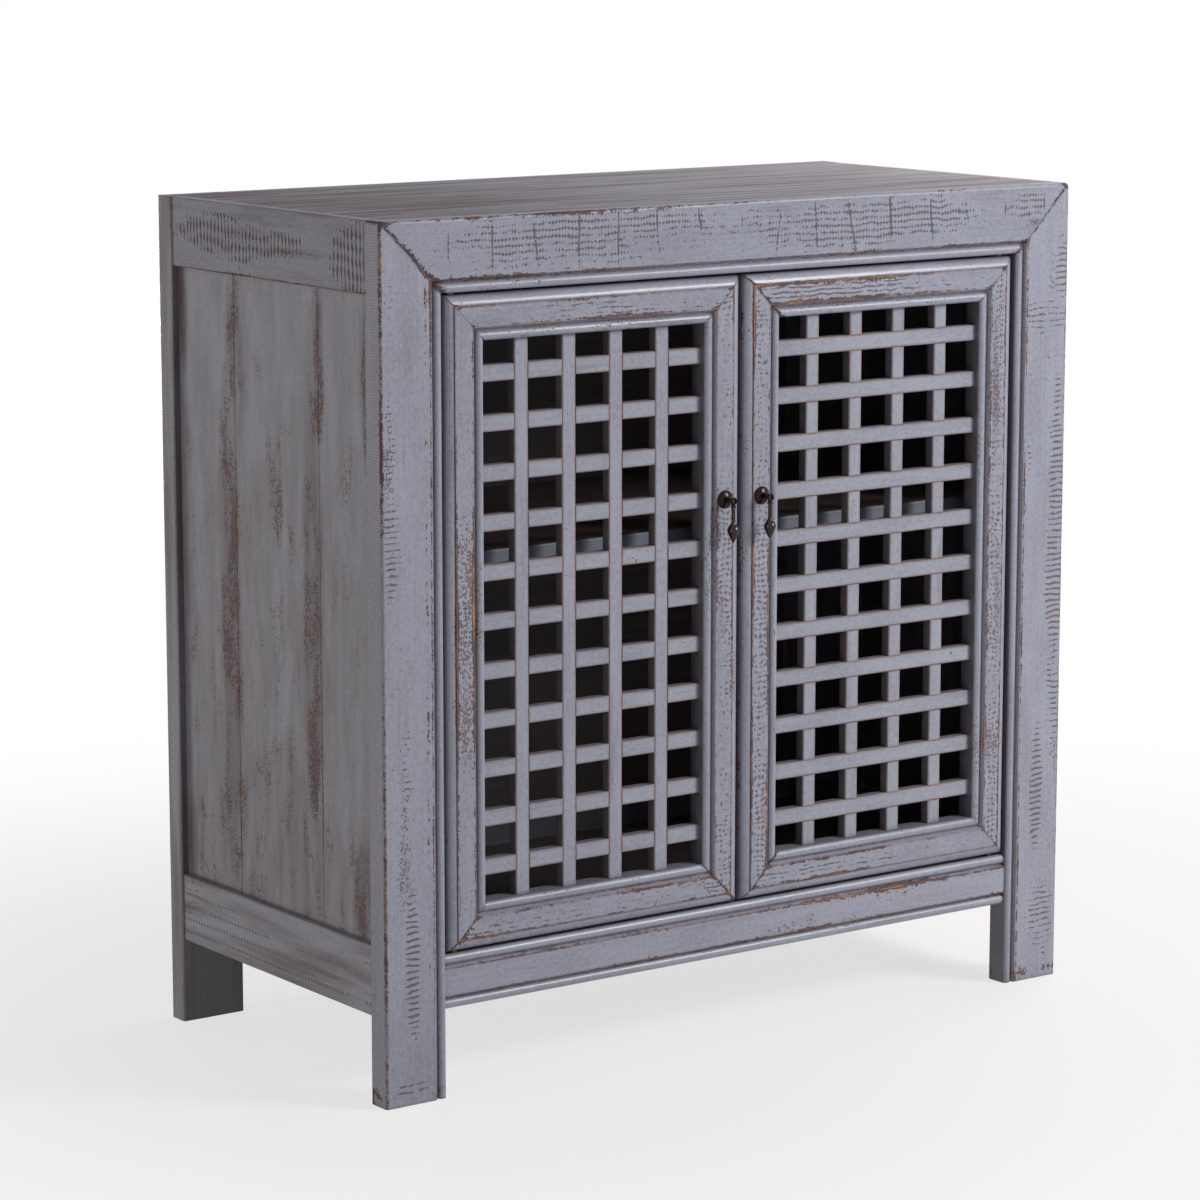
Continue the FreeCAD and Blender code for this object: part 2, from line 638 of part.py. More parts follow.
def plain_bars():
    """Lattice bars at full thickness, with eased front arrises and the ends that enter the door frame."""
    d0 = DOOR_SET + BAR_SET
    d1 = d0 + BAR_THICK
    inner = DOOR_FACE - BAR_HOUSING
    z0, z1 = DOOR_FOOT + inner, DOOR_TOP - inner
    uprights = []
    for place in upright_places():
        section = eased_section(d0, d1, place, place + BAR_WIDTH)
        uprights.append(prism([point(x, d, z0) for d, x in section], Vector(0, 0, z1 - z0)))
    x0, x1 = DOOR_LEFT + inner, DOOR_RIGHT - inner
    crossbars = []
    for place in crossbar_places():
        section = eased_section(d0, d1, place, place + BAR_WIDTH)
        crossbars.append(prism([point(x0, d, z) for d, z in section], Vector(x1 - x0, 0, 0)))
    return uprights, crossbars


def lattice(uprights_in_front):
    """Cross-halved bars: at each crossing both bars lose half of their thickness."""
    front = DOOR_SET + BAR_SET
    middle = front + BAR_THICK / 2
    back = front + BAR_THICK
    upright_notch = (middle, back) if uprights_in_front else (front, middle)
    crossbar_notch = (front, middle) if uprights_in_front else (middle, back)
    uprights, crossbars = plain_bars()
    across = [block(DOOR_LEFT, DOOR_RIGHT, *upright_notch, z, z + BAR_WIDTH) for z in crossbar_places()]
    upward = [block(x, x + BAR_WIDTH, *crossbar_notch, DOOR_FOOT, DOOR_TOP) for x in upright_places()]
    return [cut(bar, *across) for bar in uprights], [cut(bar, *upward) for bar in crossbars]


def door_keys():
    front = DOOR_BACK - DOOR_KEY_BACK - DOOR_KEY[2]
    keys = []
    for x, side in ((DOOR_LEFT, 1), (DOOR_RIGHT, -1)):
        for z, up in ((DOOR_FOOT, 1), (DOOR_TOP, -1)):
            key = mitre_key(x, z, side, up, DOOR_FACE / 2, DOOR_KEY, front)
            keys.append(cut(key, *door_pivot_pins(), *strike_screws()))
    return keys


def left_door_frame():
    """Hinge stile, top rail, meeting stile and bottom rail of the left door, mitred at the corners."""
    x0, x1, z0, z1, face = DOOR_LEFT, DOOR_RIGHT, DOOR_FOOT, DOOR_TOP, DOOR_FACE
    outer = [(x0, z0), (x0, z1), (x1, z1), (x1, z0)]
    inner = [(x0 + face, z0 + face), (x0 + face, z1 - face), (x1 - face, z1 - face), (x1 - face, z0 + face)]
    lengths = (z1 - z0, x1 - x0, z1 - z0, x1 - x0)
    uprights, crossbars = plain_bars()
    fittings = [*door_keys(), *door_pivot_pins(), *strike_screws(), pull_post()]
    members = []
    for corner in range(4):
        following = (corner + 1) % 4
        x, z = outer[corner]
        bar = moulding(door_section(), x, DOOR_SET, z, 90 * corner, lengths[corner])
        shape = (outer[corner], outer[following], inner[following], inner[corner])
        bar = bar.common(slab(shape, DOOR_SET, DOOR_BACK))
        members.append(cut(bar, *uprights, *crossbars, *fittings))
    return members


def strike_screws():
    """Screws of the left door's strike plate."""
    wide, thick, high = STRIKE
    middle = DOOR_RIGHT - STRIKE_INSET - wide / 2
    z = DOOR_TOP - STRIKE_TOP_GAP - high / 2
    places = (middle - STRIKE_SCREW_SPACING / 2, middle + STRIKE_SCREW_SPACING / 2)
    seat = DOOR_BACK + thick - STRIKE_SCREW[2]
    return [screw((x, seat, z), (0, -1, 0), STRIKE_SCREW) for x in places]


def left_strike_plate():
    wide, thick, high = STRIKE
    x1 = DOOR_RIGHT - STRIKE_INSET
    z1 = DOOR_TOP - STRIKE_TOP_GAP
    plate = block(x1 - wide, x1, DOOR_BACK, DOOR_BACK + thick, z1 - high, z1)
    return cut(plate, *strike_screws())


# Drop pulls: profiles are written as (radius, distance in front of the door) and turned round the post

def turned(profile, x, z):
    """Revolve a closed profile round the axis of the post."""
    face = outline(*profile)
    face.Placement = FreeCAD.Placement(point(x, DOOR_SET, z), FreeCAD.Rotation(Vector(1, 0, 0), 180))
    return face.revolve(point(x, DOOR_SET, z), Vector(0, -1, 0), 360)


def pull_rosette():
    """Round plate with a spherical dome and a hole for the post."""
    rim = ROSETTE_DIAMETER / 2
    hole = POST_DIAMETER / 2
    rise = ROSETTE_HEIGHT - ROSETTE_RIM
    ball = (rim ** 2 + rise ** 2) / (2 * rise)
    dome = [(r, ROSETTE_HEIGHT - ball + math.sqrt(ball ** 2 - r ** 2)) for r in ((rim + hole) / 2, hole)]
    return turned(((hole, 0), (rim, 0), (rim, ROSETTE_RIM), tuple(dome)), PULL_X, PULL_HEIGHT)


def pull_post():
    """Stud through the stile, neck, and a round-nosed head."""
    stem = POST_DIAMETER / 2
    head = POST_HEAD_DIAMETER / 2
    tail = -DOOR_THICK - NUT_HEIGHT - POST_BEHIND
    shoulder = POST_TIP - POST_HEAD_LENGTH
    nose = ((head * math.sqrt(0.5), POST_TIP - head * (1 - math.sqrt(0.5))), (0, POST_TIP))
    neck = ((stem, shoulder), (head, shoulder + head - stem))
    profile = ((0, tail), (stem, tail), *neck, (head, POST_TIP - head), nose)
    return turned(profile, PULL_X, PULL_HEIGHT)


def slotted_post():
    """Post with the slot that the pendant swings in, open below and in front."""
    half = TONGUE_THICK / 2 + TONGUE_SIDE_ROOM
    pivot = DOOR_SET - PULL_PIVOT_OUT
    reach = TONGUE_WIDTH / 2 + SLOT_ROOM
    tip = DOOR_SET - POST_TIP
    foot = PULL_HEIGHT - POST_HEAD_DIAMETER
    top = PULL_HEIGHT + TONGUE_WIDTH / 2 + SLOT_TOP_ROOM
    slot = block(PULL_X - half, PULL_X + half, tip, pivot + reach, foot, top)
    return cut(pull_post(), slot, pull_pin())


def pull_pin():
    half = POST_HEAD_DIAMETER / 2 - PULL_PIN_INSET
    depth = DOOR_SET - PULL_PIVOT_OUT
    start = (PULL_X - half, depth, PULL_HEIGHT)
    return rod(start, (PULL_X + half, depth, PULL_HEIGHT), PULL_PIN_DIAMETER)


def pull_nut():
    radius = NUT_ACROSS_FLATS / math.sqrt(3)
    corners = []
    for number in range(6):
        angle = math.radians(60 * number)
        corners.append((PULL_X + radius * math.cos(angle), PULL_HEIGHT + radius * math.sin(angle)))
    return cut(slab(corners, DOOR_BACK, DOOR_BACK + NUT_HEIGHT), pull_post())


def s_bend(start, end):
    """Moves for outline(): two equal arcs that leave the start and reach the end along v."""
    half_u = (end[0] - start[0]) / 2
    half_v = (end[1] - start[1]) / 2
    radius = (half_u ** 2 + half_v ** 2) / (2 * half_u)
    turn = math.asin(half_v / radius) / 2
    side = radius * (1 - math.cos(turn))
    run = radius * math.sin(turn)
    middle = (start[0] + half_u, start[1] + half_v)
    return ((start[0] + side, start[1] + run), middle), ((end[0] - side, end[1] - run), end)


def pull_pendant():
    """Turned drop with a collar, a slim neck and a pointed bulb, hung by a flat tongue."""
    depth = DOOR_SET - PULL_PIVOT_OUT
    pivot = point(PULL_X, depth, PULL_HEIGHT)
    collar_foot = COLLAR_TOP + COLLAR_HEIGHT
    neck_foot = collar_foot + NECK_LENGTH
    widest = neck_foot + BULB_RISE
    end = widest + BULB_TAPER
    collar, neck, bulb, tip = (d / 2 for d in (COLLAR_DIAMETER, NECK_DIAMETER, BULB_DIAMETER, TIP_DIAMETER))
    flare = s_bend((neck, neck_foot), (bulb, widest))
    taper = (((bulb + tip) / 2 + TAPER_BULGE, (widest + end) / 2), (tip, end))
    neck_line = ((collar, collar_foot), (neck, collar_foot), (neck, neck_foot))
    face = outline((0, COLLAR_TOP), (collar, COLLAR_TOP), *neck_line, *flare, taper, (0, end))
    face.Placement = FreeCAD.Placement(pivot, FreeCAD.Rotation(Vector(1, 0, 0), -90))
    drop = face.revolve(pivot, Vector(0, 0, 1), 360)
    x0, x1 = PULL_X - TONGUE_THICK / 2, PULL_X + TONGUE_THICK / 2
    half = TONGUE_WIDTH / 2
    tongue = block(x0, x1, depth - half, depth + half, PULL_HEIGHT - COLLAR_TOP, PULL_HEIGHT)
    eye = rod((x0, depth, PULL_HEIGHT), (x1, depth, PULL_HEIGHT), TONGUE_WIDTH)
    hole = rod((x0, depth, PULL_HEIGHT), (x1, depth, PULL_HEIGHT), PULL_PIN_DIAMETER + 2 * RUNNING_FIT)
    return cut(fuse(drop, tongue, eye), hole)


# Assembly: left-hand pieces are modelled, right-hand ones are their mirror images

def both_sides(name, shape):
    """A left piece and its mirror image, under the left and right forms of its name."""
    return {"left_" + name: shape, "right_" + name: mirrored(shape)}


def group(shapes):
    return Part.makeCompound(shapes)


def carcase():
    left_leg = front_left_leg()
    back_leg = back_left_leg()
    screws = cleat_screws()
    bushes = left_pivot_bushes()
    pieces = {
        "front_left_leg": left_leg,
        "front_right_leg": mirrored(left_leg),
        "front_top_rail": front_top_rail(),
        "front_bottom_rail": front_bottom_rail(),
        "frame_mitre_keys": group(frame_keys()),
        "back_left_leg": back_leg,
        "back_right_leg": mirrored(back_leg),
        "back_top_rail": back_rail(HIGH_RAIL_FOOT, HIGH_TENON),
        "back_bottom_rail": back_rail(RAIL_FOOT, LOW_TENON),
        "back_panel": back_panel(),
        "bottom_panel": bottom_panel(),
        "top_boards": group(top_boards()),
        "shelf": shelf(),
        "cleat_screws": group(screws + [mirrored(one) for one in screws]),
        "catch_block": catch_block(),
        "catch_block_screws": group(block_screws()),
        "magnetic_catch": magnetic_catch(),
        "catch_screws": group(catch_screws()),
        "pivot_bushes": group(bushes + [mirrored(one) for one in bushes]),
    }
    pieces.update(both_sides("side_top_rail", left_side_rail(HIGH_RAIL_FOOT, HIGH_TENON)))
    pieces.update(both_sides("side_bottom_rail", left_side_rail(RAIL_FOOT, LOW_TENON)))
    pieces.update(both_sides("side_boards", group(left_side_boards())))
    pieces.update(both_sides("shelf_cleat", left_shelf_cleat()))
    return pieces


def doors():
    hinge_stile, top_rail, meeting_stile, bottom_rail = left_door_frame()
    pieces = {}
    left_pieces = {
        "door_hinge_stile": hinge_stile,
        "door_top_rail": top_rail,
        "door_meeting_stile": meeting_stile,
        "door_bottom_rail": bottom_rail,
        "door_mitre_keys": group(door_keys()),
        "door_pivot_pins": group(door_pivot_pins()),
        "strike_plate": left_strike_plate(),
        "strike_screws": group(strike_screws()),
        "pull_rosette": pull_rosette(),
        "pull_post": slotted_post(),
        "pull_pin": pull_pin(),
        "pull_nut": pull_nut(),
        "pull_pendant": pull_pendant(),
    }
    for name, shape in left_pieces.items():
        pieces.update(both_sides(name, shape))
    uprights, crossbars = lattice(uprights_in_front=True)
    pieces["left_door_uprights"] = group(uprights)
    pieces["left_door_crossbars"] = group(crossbars)
    uprights, crossbars = lattice(uprights_in_front=False)
    pieces["right_door_uprights"] = mirrored(group(uprights))
    pieces["right_door_crossbars"] = mirrored(group(crossbars))
    return pieces


os.makedirs("parts", exist_ok=True)
for node, shape in {**carcase(), **doors()}.items():
    shape.exportStep(os.path.join("parts", node + ".step"))
    print(node, len(shape.Solids), "solids", shape.isValid(), round(shape.Volume / 1000, 2), "cm3")
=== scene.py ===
# Accent cabinet in worn blue-grey paint: finishes, floor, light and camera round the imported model.
import math

import bpy
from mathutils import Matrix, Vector

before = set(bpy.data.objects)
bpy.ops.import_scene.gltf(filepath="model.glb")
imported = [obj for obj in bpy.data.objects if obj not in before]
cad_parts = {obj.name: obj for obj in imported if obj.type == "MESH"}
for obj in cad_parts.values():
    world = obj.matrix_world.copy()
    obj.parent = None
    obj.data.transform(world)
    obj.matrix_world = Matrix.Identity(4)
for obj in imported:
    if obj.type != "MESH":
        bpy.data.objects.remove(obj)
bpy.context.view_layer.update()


# Front frame: two legs and a top rail of sawn pine, mitred at the upper corners, with a bead worked on
# the inner edges, and a beaded bottom rail tenoned between the legs. The faces keep their saw ridges
# under blue-grey paint, which is rubbed through on the ridges, along the mitres and on the arrises.
MM = 0.001


def linear(colour):
    """Linear RGBA of an sRGB hex value."""
    shares = [int(colour[start:start + 2], 16) / 255 for start in (1, 3, 5)]
    return [s / 12.92 if s <= 0.04045 else ((s + 0.055) / 1.055) ** 2.4 for s in shares] + [1.0]


def feed(tree, node, inputs):
    """Gives a node's inputs their values or their links."""
    for key, value in inputs.items():
        named = [socket for socket in node.inputs if socket.enabled and socket.name == key]
        target = node.inputs[key] if isinstance(key, int) else named[0]
        if isinstance(value, bpy.types.Node):
            value = next(socket for socket in value.outputs if socket.enabled)
        if isinstance(value, bpy.types.NodeSocket):
            tree.links.new(value, target)
        else:
            target.default_value = value


def add(tree, kind, inputs=None, **settings):
    """Adds one node, with its settings, its input values and the links that reach it."""
    node = tree.nodes.new("ShaderNode" + kind)
    for name, value in settings.items():
        setattr(node, name, value)
    feed(tree, node, inputs or {})
    return node


def new_finish(name):
    """A material with its node tree, its shader and the surface's own coordinates."""
    finish = bpy.data.materials.new(name)
    finish.use_nodes = True
    tree = finish.node_tree
    return finish, tree, tree.nodes["Principled BSDF"], add(tree, "TexCoord").outputs["Object"]


def dress(finish, *names):
    """Puts a finish on some of the cabinet's pieces."""
    for name in names:
        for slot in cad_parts[name].material_slots:
            slot.material = finish


def stretched(grain, along, across):
    """Mapping scale of a pattern that is this long along the grain and this wide across it, in mm."""
    return [1 / (MM * (along if axis == grain else across)) for axis in "XYZ"]


WAVE_TURN = 20.0              # radians that a wave texture turns in one unit


def band_scale(pitch):
    """Wave texture scale whose bands lie this many mm apart."""
    return math.tau / (WAVE_TURN * pitch * MM)


def weighted(tree, base, *terms):
    """The base plus each pattern times its weight."""
    total = base
    for source, weight in terms:
        total = add(tree, "Math", {0: source, 1: weight, 2: total}, operation="MULTIPLY_ADD")
    return total


def nearness(tree, place, spans):
    """How near a place lies to some planes. A plane has a direction, its place along that, its reach in mm
    and the value that it has on the plane itself, which falls to 0 at its reach."""
    near = 0.0
    for direction, offset, reach, strength in spans:
        along = add(tree, "VectorMath", {0: place, 1: direction}, operation="DOT_PRODUCT").outputs["Value"]
        off = add(tree, "Math", {0: along, 1: offset * MM}, operation="SUBTRACT")
        off = add(tree, "Math", {0: off}, operation="ABSOLUTE")
        band = add(tree, "MapRange", {"Value": off, "From Min": reach * MM, "From Max": 0.0,
                                      "To Max": strength})
        near = add(tree, "Math", {0: near, 1: band}, operation="MAXIMUM")
    return near


SPOT_CORE = 0.45              # share of a spot's half sizes within which it keeps its full value


def spotted(tree, place, spots):
    """How near a place lies to some spots. A spot has its middle and its half sizes in mm and the value
    that it has round its middle, which falls to 0 at its rim."""
    near = 0.0
    for middle, halves, strength in spots:
        moved = add(tree, "VectorMath", {0: place, 1: [m * MM for m in middle]}, operation="SUBTRACT")
        moved = add(tree, "VectorMath", {0: moved, 1: [h * MM for h in halves]}, operation="DIVIDE")
        off = add(tree, "VectorMath", {0: moved}, operation="LENGTH").outputs["Value"]
        spot = add(tree, "MapRange", {"Value": off, "From Min": 1.0, "From Max": SPOT_CORE,
                                      "To Max": strength})
        near = add(tree, "Math", {0: near, 1: spot}, operation="MAXIMUM")
    return near


ACROSS = (1, 0, 0)
LEFTWARD = (-1, 0, 0)
INWARD = (0, 1, 0)
FORWARD = (0, -1, 0)
UP = (0, 0, 1)
DOWN = (0, 0, -1)
PAINT = "#989aa8"
PAINT_DARK = "#83828e"        # thin paint over the grain
PAINT_PALE = "#a5a8b6"        # chalky patches
GLAZE_AND_SHADE = "#463b3f"             # brown wax left in quirks and along joints, and painted shade in corners and on inner faces
SCAR = "#4d4048"              # shallow rub, down to a dark undercoat
RUST_WOOD = "#65483f"         # deeper rub, down to stained wood
TAN_WOOD = "#a88468"          # bare pine
SMEAR = "#574341"             # brown rubbed thinly over the paint
NOISE_MIDDLE = 0.5            # middle value of a noise pattern
EDGE_REACH = 3.0              # mm of rub beside an arris
ARRIS_ROUND = 0.8             # mm by which brush and wear soften an arris
VALLEY = -0.14                # wear that is never passed between the saw ridges
RUB_START = -0.6              # wear away from arrises, joints and rubbed lines
WHOLE, GONE = -0.05, 0.08     # wear at which paint starts to go and is all gone
WAX_SHADE_REACH = 6.0               # mm from a corner within which wax and painted shade lie
WAX_SHADE_START, WAX_SHADE_FULL = 0.62, 0.2   # open shares of the sky at which wax and painted shade start and are darkest
WAX_SHADE_SHARE = 0.7               # how much of the paint they hide there
INNER_STAIN_SHADE = 0.62              # how much of the paint is hidden on faces that look inwards, by dark stain and painted shade
RELIEF = 0.35                 # mm of relief in the paint
SATIN = 0.28                  # roughness of whole paint
DRY = 0.85                    # roughness of bare wood and of paint on level faces


def worn_paint(name, grain, seed, face=FORWARD, dash=(24, 6), saw=-1.05, ridges=(), saw_spots=(), speck=0.5,
               edge=0.55, rub_spans=(), joint_spans=(), smear=-0.55, smear_size=(170, 17), streaky=2.6,
               smear_colour=SMEAR, smear_spots=(), ribs=0.0, inner=(), shine=0.5):
    """Satin paint over sawn pine. The eye sees pale blue-grey with a fine mottle, rows of small dark marks
    where saw ridges were rubbed, and broken brown and tan lines along the arrises. Saw, speck, edge and
    smear say how much of each kind of wear shows, and the spans and spots say where it is strongest."""
    finish, tree, shader, place = new_finish(name)
    sizes = {
        # pattern: mm along the grain, mm across it, detail
        "dashes": (*dash, 2.0),
        "patches": (110, 40, 1.0),
        "streaks": (90, 1.8, 2.0),
        "smears": (*smear_size, 4.0),
        "chips": (9, 5, 4.0),
        "blush": (45, 20, 2.0),
        "mottle": (4.5, 3.0, 2.0),
        "grit": (2.4, 1.8, 2.0),
    }
    made = {}
    for pattern, (along, across, detail) in sizes.items():
        shift = [seed * 1.7 + len(made), seed * 2.3, seed * 3.1]
        scale = stretched(grain, along, across)
        placed = add(tree, "Mapping", {"Vector": place, "Location": shift, "Scale": scale})
        noise = add(tree, "TexNoise", {"Vector": placed, "Scale": 1.0, "Detail": detail})
        made[pattern] = add(tree, "Math", {0: noise, 1: NOISE_MIDDLE}, operation="SUBTRACT")
    ridged = 0.0
    for pitch, axis, narrow, height, sway in ridges:
        wave = add(tree, "TexWave", {"Vector": place, "Scale": band_scale(pitch), "Distortion": sway,
                                     "Detail": 2.0, "Phase Offset": seed * 1.3}, bands_direction=axis)
        wave = add(tree, "Math", {0: wave, 1: narrow}, operation="POWER")
        ridged = add(tree, "Math", {0: wave, 1: height, 2: ridged}, operation="MULTIPLY_ADD")

    # Where the surface lies: on an arris, beside a joint, on the sawn face or on a ribbed side.
    edge_normal = add(tree, "Bevel", {"Radius": EDGE_REACH * MM}, samples=3)
    true_normal = add(tree, "NewGeometry").outputs["True Normal"]
    turned = add(tree, "VectorMath", {0: edge_normal, 1: true_normal}, operation="CROSS_PRODUCT")
    turned = add(tree, "VectorMath", {0: turned}, operation="LENGTH").outputs["Value"]
    arris = add(tree, "MapRange", {"Value": turned, "From Min": 0.1, "From Max": 0.7})
    facing = add(tree, "VectorMath", {0: true_normal, 1: face}, operation="DOT_PRODUCT").outputs["Value"]
    averted = add(tree, "Math", {0: facing, 1: 1.0}, operation="SUBTRACT")
    rub = nearness(tree, place, rub_spans)
    joint = nearness(tree, place, joint_spans)
    smudge = spotted(tree, place, smear_spots)
    ribbed = 0.0
    if ribs:
        sideways = add(tree, "VectorMath", {0: true_normal, 1: ACROSS}, operation="DOT_PRODUCT")
        sideways = add(tree, "Math", {0: sideways.outputs["Value"]}, operation="ABSOLUTE")
        ribbed = add(tree, "TexWave", {"Vector": place, "Scale": band_scale(ribs), "Distortion": 0.8},
                     bands_direction="Z")
        ribbed = add(tree, "Math", {0: ribbed, 1: sideways}, operation="MULTIPLY")

    # How far the paint is worn: on saw ridges, along edges and in small specks.
    sawn = weighted(tree, saw, (made["dashes"], 1.2), (made["patches"], 1.4), (made["chips"], 0.8),
                    (made["grit"], 1.1), (averted, 2.0), (spotted(tree, place, saw_spots), 0.6))
    sawn = add(tree, "Math", {0: sawn, 1: VALLEY}, operation="MINIMUM")
    sawn = add(tree, "Math", {0: sawn, 1: ridged}, operation="ADD")
    rubbed = weighted(tree, RUB_START, (arris, edge), (rub, 0.64), (joint, 0.64), (made["chips"], 1.1),
                      (made["patches"], 1.5), (made["grit"], 1.1))
    dotted = weighted(tree, -speck, (made["grit"], 1.6), (made["blush"], 0.9), (made["patches"], 0.8),
                      (made["smears"], 0.8), (smudge, 0.42))
    bare = 0.0
    loss = -1.0
    for wear, share in ((sawn, 0.8), (rubbed, 1.0), (dotted, 0.75)):
        step = add(tree, "MapRange", {"Value": wear, "From Min": WHOLE, "From Max": GONE, "To Max": share},
                   interpolation_type="SMOOTHSTEP")
        bare = add(tree, "Math", {0: step, 1: bare}, operation="MAXIMUM")
        loss = add(tree, "Math", {0: wear, 1: loss}, operation="MAXIMUM")

    # What shows there: a dark undercoat, stained wood under deeper wear, and bare pine on the edges.
    edges = add(tree, "Math", {0: arris, 1: rub}, operation="MAXIMUM")
    warmth = weighted(tree, 0.0, (loss, 0.6), (edges, 0.22), (joint, -0.3), (made["blush"], 1.5))
    rust = add(tree, "MapRange", {"Value": warmth, "From Min": 0.0, "From Max": 0.4})
    tan = add(tree, "MapRange", {"Value": warmth, "From Min": 0.45, "From Max": 0.8})
    wood = add(tree, "Mix", {"Factor": rust, "A": linear(SCAR), "B": linear(RUST_WOOD)}, data_type="RGBA")
    wood = add(tree, "Mix", {"Factor": tan, "A": wood, "B": linear(TAN_WOOD)}, data_type="RGBA")

    # The paint itself: dark and pale mottle, brown rubbed over it, and wax and painted shade in corners and
    # on inner faces.
    tone = weighted(tree, 0.0, (made["mottle"], 0.6), (made["grit"], 0.6), (made["streaks"], 0.4),
                    (made["patches"], 0.7), (ribbed, -0.4))
    dark = add(tree, "MapRange", {"Value": tone, "From Min": 0.0, "From Max": -0.4})
    pale = add(tree, "MapRange", {"Value": tone, "From Min": 0.0, "From Max": 0.4})
    brown = weighted(tree, smear, (made["smears"], streaky), (made["streaks"], 0.3 * streaky),
                     (smudge, 0.6))
    brown = add(tree, "MapRange", {"Value": brown, "From Min": -0.15, "From Max": 0.5, "To Max": 0.8})
    # Painted shade: the paint darkens to the wax colour where corners hide the sky, and on faces turned
    # inwards.
    shelter = add(tree, "AmbientOcclusion", {"Distance": WAX_SHADE_REACH * MM}, samples=2).outputs["AO"]
    wax_and_shade = add(tree, "MapRange", {"Value": shelter, "From Min": WAX_SHADE_START, "From Max": WAX_SHADE_FULL,
                                 "To Max": WAX_SHADE_SHARE})
    for direction, start in inner:
        away = add(tree, "VectorMath", {0: true_normal, 1: direction}, operation="DOT_PRODUCT")
        away = add(tree, "MapRange", {"Value": away.outputs["Value"], "From Min": 0.75, "From Max": 0.95,
                                      "To Max": INNER_STAIN_SHADE})
        along = add(tree, "VectorMath", {0: place, 1: direction}, operation="DOT_PRODUCT").outputs["Value"]
        beyond = add(tree, "Math", {0: along, 1: start * MM}, operation="GREATER_THAN")
        away = add(tree, "Math", {0: away, 1: beyond}, operation="MULTIPLY")
        wax_and_shade = add(tree, "Math", {0: wax_and_shade, 1: away}, operation="MAXIMUM")
    coats = ((dark, linear(PAINT_DARK)), (pale, linear(PAINT_PALE)), (brown, linear(smear_colour)),
             (wax_and_shade, linear(GLAZE_AND_SHADE)), (bare, wood))
    colour = linear(PAINT)
    for share, coat in coats:
        colour = add(tree, "Mix", {"Factor": share, "A": colour, "B": coat}, data_type="RGBA")

    # How the surface feels: grain, ridges and ribs under the paint, and dry wood where it is gone.
    relief = weighted(tree, 0.0, (made["streaks"], 0.5), (made["grit"], 0.35), (ridged, 0.4), (bare, -0.6),
                      (ribbed, 0.6))
    soft_normal = add(tree, "Bevel", {"Radius": ARRIS_ROUND * MM}, samples=2)
    bump = add(tree, "Bump", {"Strength": 0.4, "Distance": RELIEF * MM, "Height": relief,
                              "Normal": soft_normal})
    upward = add(tree, "SeparateXYZ", {0: true_normal}).outputs["Z"]
    level = add(tree, "MapRange", {"Value": upward, "From Min": 0.5, "From Max": 0.9})
    matt = add(tree, "Math", {0: bare, 1: level}, operation="MAXIMUM")
    matt = add(tree, "MapRange", {"Value": matt, "To Min": SATIN, "To Max": DRY})
    feed(tree, shader, {"Base Color": colour, "Roughness": matt, "Normal": bump,
                        "Specular IOR Level": shine})
    return finish


DIAGONAL = math.sqrt(0.5)     # shares of a direction halfway between two axes


def mitre(x, z, slope, reach, strength):
    """The plane of a mitre from a corner at x and z. Slope 1 falls to the right and -1 to the left."""
    return (DIAGONAL, 0, slope * DIAGONAL), (x + slope * z) * DIAGONAL, reach, strength


LEG_OUTER = 400.0             # mm from the middle of the cabinet to the outer face of a front leg
TOP = 795.0                   # mm from the floor
FRONT = -181.9                # mm from the middle of the cabinet to the face of the front frame
FRAME_FLAT = 54.0             # mm of flat face on the legs and the top rail, outside the quirk
LEG_FLAT = LEG_OUTER - FRAME_FLAT
SIGHT_EDGE = 338.0            # mm from the middle, just outside the inner faces of the front legs
EVERYWHERE = -1000.0          # mm, a place that every face lies beyond
DEEP = 60.0                   # mm, half size of a spot across the face that it lies on
ARRIS_INSET = 1.2             # mm from a sharp corner to the middle of its rubbed line
LEG_ARRIS = (LEG_OUTER - FRONT) * DIAGONAL - ARRIS_INSET
LEFT_ARRIS = ((-DIAGONAL, -DIAGONAL, 0), LEG_ARRIS, 1.4, 0.95)
RIGHT_ARRIS = ((DIAGONAL, -DIAGONAL, 0), LEG_ARRIS, 1.4, 0.95)
TOP_ARRIS = ((0, -DIAGONAL, DIAGONAL), (TOP - FRONT) * DIAGONAL - ARRIS_INSET, 1.5, 0.72)
FOOT = (UP, 9, 16, 0.95)      # wear above the floor
# The ribs on the sides of the legs are too fine to show at their real 2 mm, so they are drawn coarser.
RIB_PITCH = 2.6               # mm
# Saw ridges: mm between them, the axis across them, how narrow and how high they are, how much they sway.
LEG_RIDGES = ((5.8, "Z", 3, 0.5, 4.0),)
RAIL_RIDGES = ((6.0, "Z", 2, 0.16, 4.0), (3.6, "X", 1, 0.13, 5.0), (46, "X", 300, 0.3, 3.0))
# The inner faces of the front legs darken to the wax colour: brown dirt and painted shade beside the door
# openings.
dress(worn_paint("sawn_paint_left_leg", "Z", 1, ridges=LEG_RIDGES, ribs=RIB_PITCH,
                 inner=((ACROSS, -SIGHT_EDGE),),
                 saw_spots=(((-386, FRONT, 725), (16, DEEP, 34), 0.8),
                            ((-392, FRONT, 610), (12, DEEP, 70), 0.8),
                            ((-392, FRONT, 500), (18, DEEP, 80), 1.3),
                            ((-375, FRONT, 310), (10, DEEP, 70), 0.8),
                            ((-371, FRONT, 125), (11, DEEP, 95), 1.8),
                            ((-372, FRONT, 16), (28, DEEP, 16), 1.6)),
                 rub_spans=(LEFT_ARRIS, (ACROSS, -LEG_FLAT - 7, 4, 0.85),
                            (ACROSS, -LEG_FLAT - 2, 2.2, 1.2), FOOT),
                 joint_spans=(mitre(-LEG_OUTER, TOP, 1, 4, 1.0),), speck=0.44,
                 smear_spots=(((-394, FRONT, 630), (9, DEEP, 140), 0.7),
                              ((-378, FRONT, 300), (24, DEEP, 160), 0.5))), "front_left_leg")
